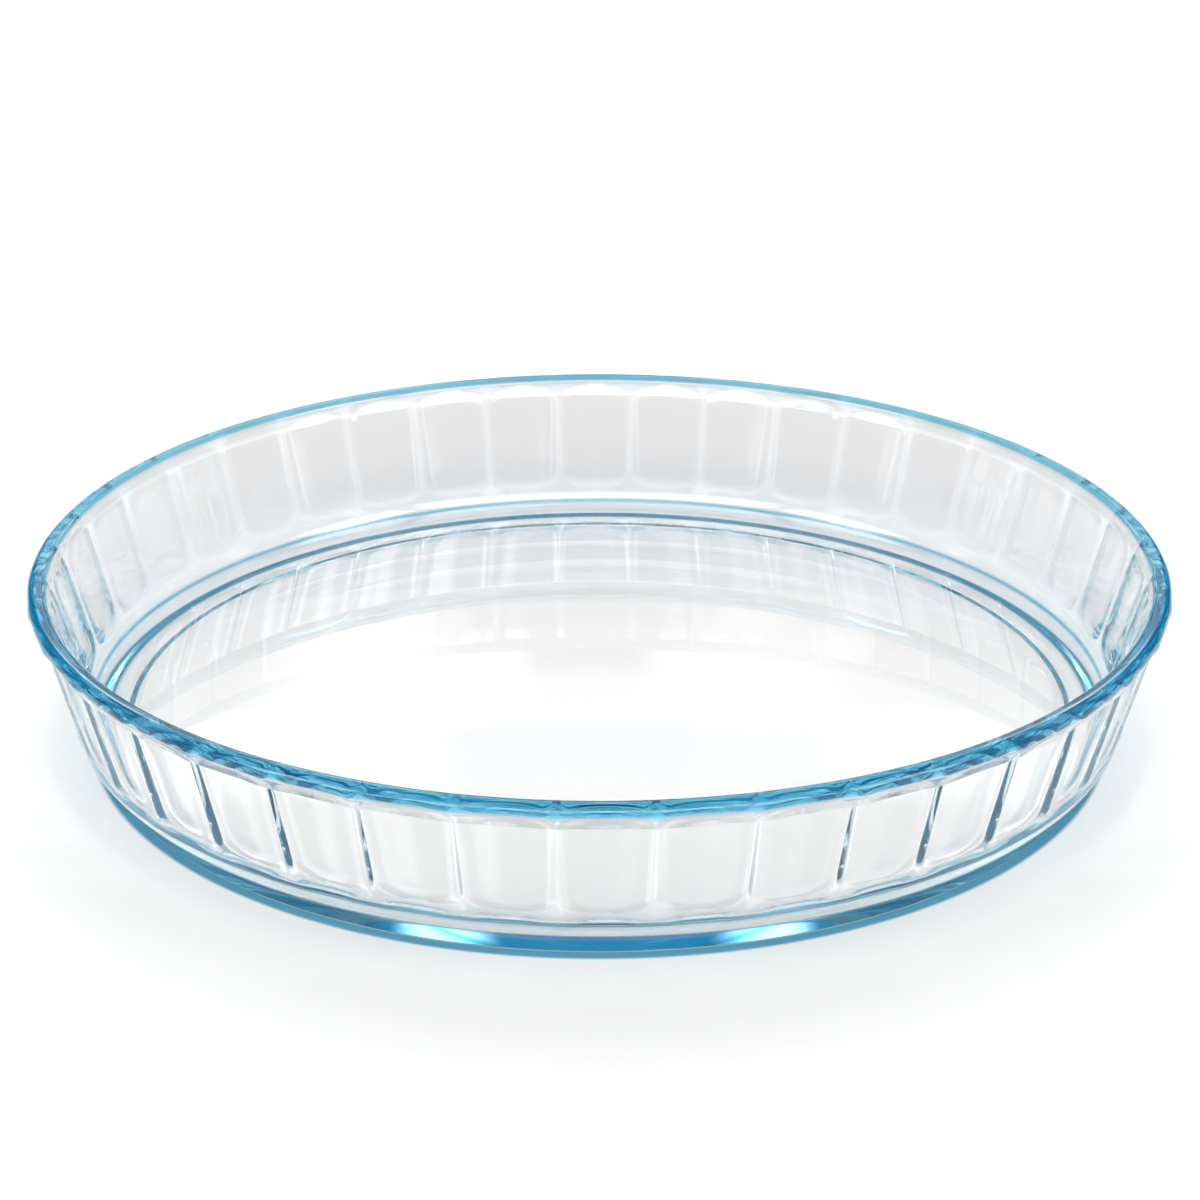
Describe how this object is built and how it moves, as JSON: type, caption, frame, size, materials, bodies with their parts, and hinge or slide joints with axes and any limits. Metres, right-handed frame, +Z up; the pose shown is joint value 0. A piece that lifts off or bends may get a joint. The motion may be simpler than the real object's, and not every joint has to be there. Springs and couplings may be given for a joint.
{
  "type": "glass flan dish",
  "caption": "Round shallow clear-glass flan dish with a flat base on a foot ring, a leaning fluted wall and a rounded rim bead, for baking tarts and quiches.",
  "frame": {"origin": "middle of the plane that the foot ring stands on", "axes": "+Z up along the dish's axis, out of its open mouth; -Y is the side that faces the camera in the picture, with the middle of one flute on it"},
  "size_m": [0.28, 0.28, 0.0425],
  "materials": {
    "clear_glass": "fire-polished clear pressed glass with a faint blue tint in thick edges"
  },
  "bodies": {
    "root": {"dish": "clear_glass"}
  },
  "joints": []
}
